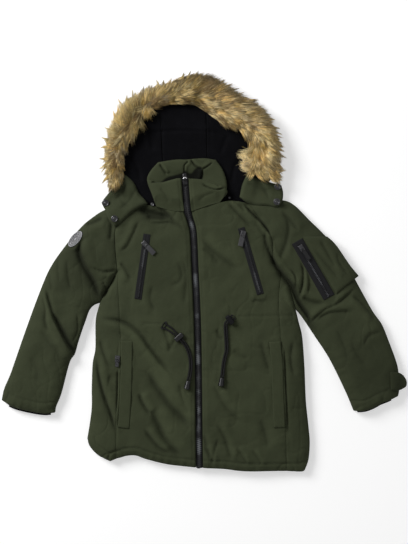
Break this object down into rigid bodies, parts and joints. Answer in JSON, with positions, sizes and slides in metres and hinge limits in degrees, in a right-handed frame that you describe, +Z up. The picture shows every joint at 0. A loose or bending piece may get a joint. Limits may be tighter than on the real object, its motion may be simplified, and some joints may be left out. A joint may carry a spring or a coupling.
{
  "type": "hooded jacket",
  "caption": "Child's padded parka laid flat on its back, zipped, with a fur-trimmed hood, zip pockets, waist drawcords and pull tabs that lift.",
  "frame": {"origin": "on the surface the coat lies on, under the middle of its outline", "axes": "+Z up off the surface; +Y from the hem towards the hood; +X towards the wearer's left sleeve"},
  "size_m": [0.9133, 0.8967, 0.045],
  "materials": {
    "olive_cloth": "matte tight twill shell over padding",
    "black_fleece": "soft black fleece and rib knit",
    "fur": "long tan and cream faux fur with dark tips",
    "zip_band": "black woven zip band",
    "zip_teeth": "black moulded zip teeth, slightly glossy",
    "gunmetal": "gunmetal sliders, snaps and buttons",
    "grey_rubber": "matte grey rubber pull tabs",
    "black_plastic": "satin black plastic cord locks, bell ends and eyelets",
    "black_cord": "black braided round cord",
    "badge_rubber": "grey moulded rubber badge with plain rings"
  },
  "bodies": {
    "root": {"back_panel": "olive_cloth", "badge": "badge_rubber", "bell_end_left": "black_plastic", "bell_end_right": "black_plastic", "collar_back": "olive_cloth", "collar_front_left": "olive_cloth", "collar_front_right": "olive_cloth", "cuff_knit_left": "black_fleece", "cuff_knit_right": "black_fleece", "cuff_tab_left": "olive_cloth", "drawcord_left_a": "black_cord", "drawcord_left_b": "black_cord", "drawcord_right_a": "black_cord", "drawcord_right_b": "black_cord", "eyelet_left": "black_plastic", "eyelet_right": "black_plastic", "front_left": "olive_cloth", "front_right": "olive_cloth", "fur_trim": "fur", "hood_button_left": "gunmetal", "hood_button_right": "gunmetal", "hood_flap_left": "olive_cloth", "hood_flap_right": "olive_cloth", "hood_lining_centre": "black_fleece", "hood_lining_left": "black_fleece", "hood_lining_right": "black_fleece", "hood_shell": "olive_cloth", "pocket_welt_left": "olive_cloth", "pocket_welt_right": "olive_cloth", "side_front_left": "olive_cloth", "side_front_right": "olive_cloth", "sleeve_left_under": "olive_cloth", "sleeve_left_upper": "olive_cloth", "sleeve_pocket": "olive_cloth", "sleeve_right_under": "olive_cloth", "sleeve_right_upper": "olive_cloth", "slider_chest_left": "gunmetal", "slider_chest_right": "gunmetal", "slider_main": "gunmetal", "slider_pocket": "gunmetal", "slider_sleeve": "gunmetal", "snap_left_lower": "gunmetal", "snap_left_upper": "gunmetal", "snap_right_lower": "gunmetal", "snap_right_upper": "gunmetal", "toggle_left": "black_plastic", "toggle_right": "black_plastic", "zip_chest_left_band": "zip_band", "zip_chest_left_teeth": "zip_teeth", "zip_chest_right_band": "zip_band", "zip_chest_right_teeth": "zip_teeth", "zip_main_band": "zip_band", "zip_main_teeth": "zip_teeth", "zip_sleeve_band": "zip_band", "zip_sleeve_teeth": "zip_teeth"},
    "tab_chest_right": {"pull_chest_right": "grey_rubber"},
    "tab_chest_left": {"pull_chest_left": "grey_rubber"},
    "tab_sleeve": {"pull_sleeve": "grey_rubber"},
    "tab_pocket": {"pull_pocket": "gunmetal"},
    "tab_main": {"pull_main": "gunmetal"}
  },
  "joints": [
    {"name": "lift_chest_right_pull", "type": "hinge", "parent": "root", "child": "tab_chest_right", "pos_m": [-0.1276, 0.059, 0.0363], "axis": [-0.7266, -0.6871, 0], "range_deg": [0, 140]},
    {"name": "lift_chest_left_pull", "type": "hinge", "parent": "root", "child": "tab_chest_left", "pos_m": [0.089, 0.081, 0.0363], "axis": [-0.973, 0.2307, 0], "range_deg": [0, 140]},
    {"name": "lift_sleeve_pull", "type": "hinge", "parent": "root", "child": "tab_sleeve", "pos_m": [0.2225, 0.05, 0.0363], "axis": [-0.8276, -0.5613, 0], "range_deg": [0, 140]},
    {"name": "lift_pocket_pull", "type": "hinge", "parent": "root", "child": "tab_pocket", "pos_m": [-0.1923, -0.199, 0.0349], "axis": [-0.9988, 0.0499, 0], "range_deg": [0, 140]},
    {"name": "lift_main_pull", "type": "hinge", "parent": "root", "child": "tab_main", "pos_m": [-0.0403, 0.205, 0.0379], "axis": [0.9982, 0.0599, 0], "range_deg": [0, 140]}
  ]
}
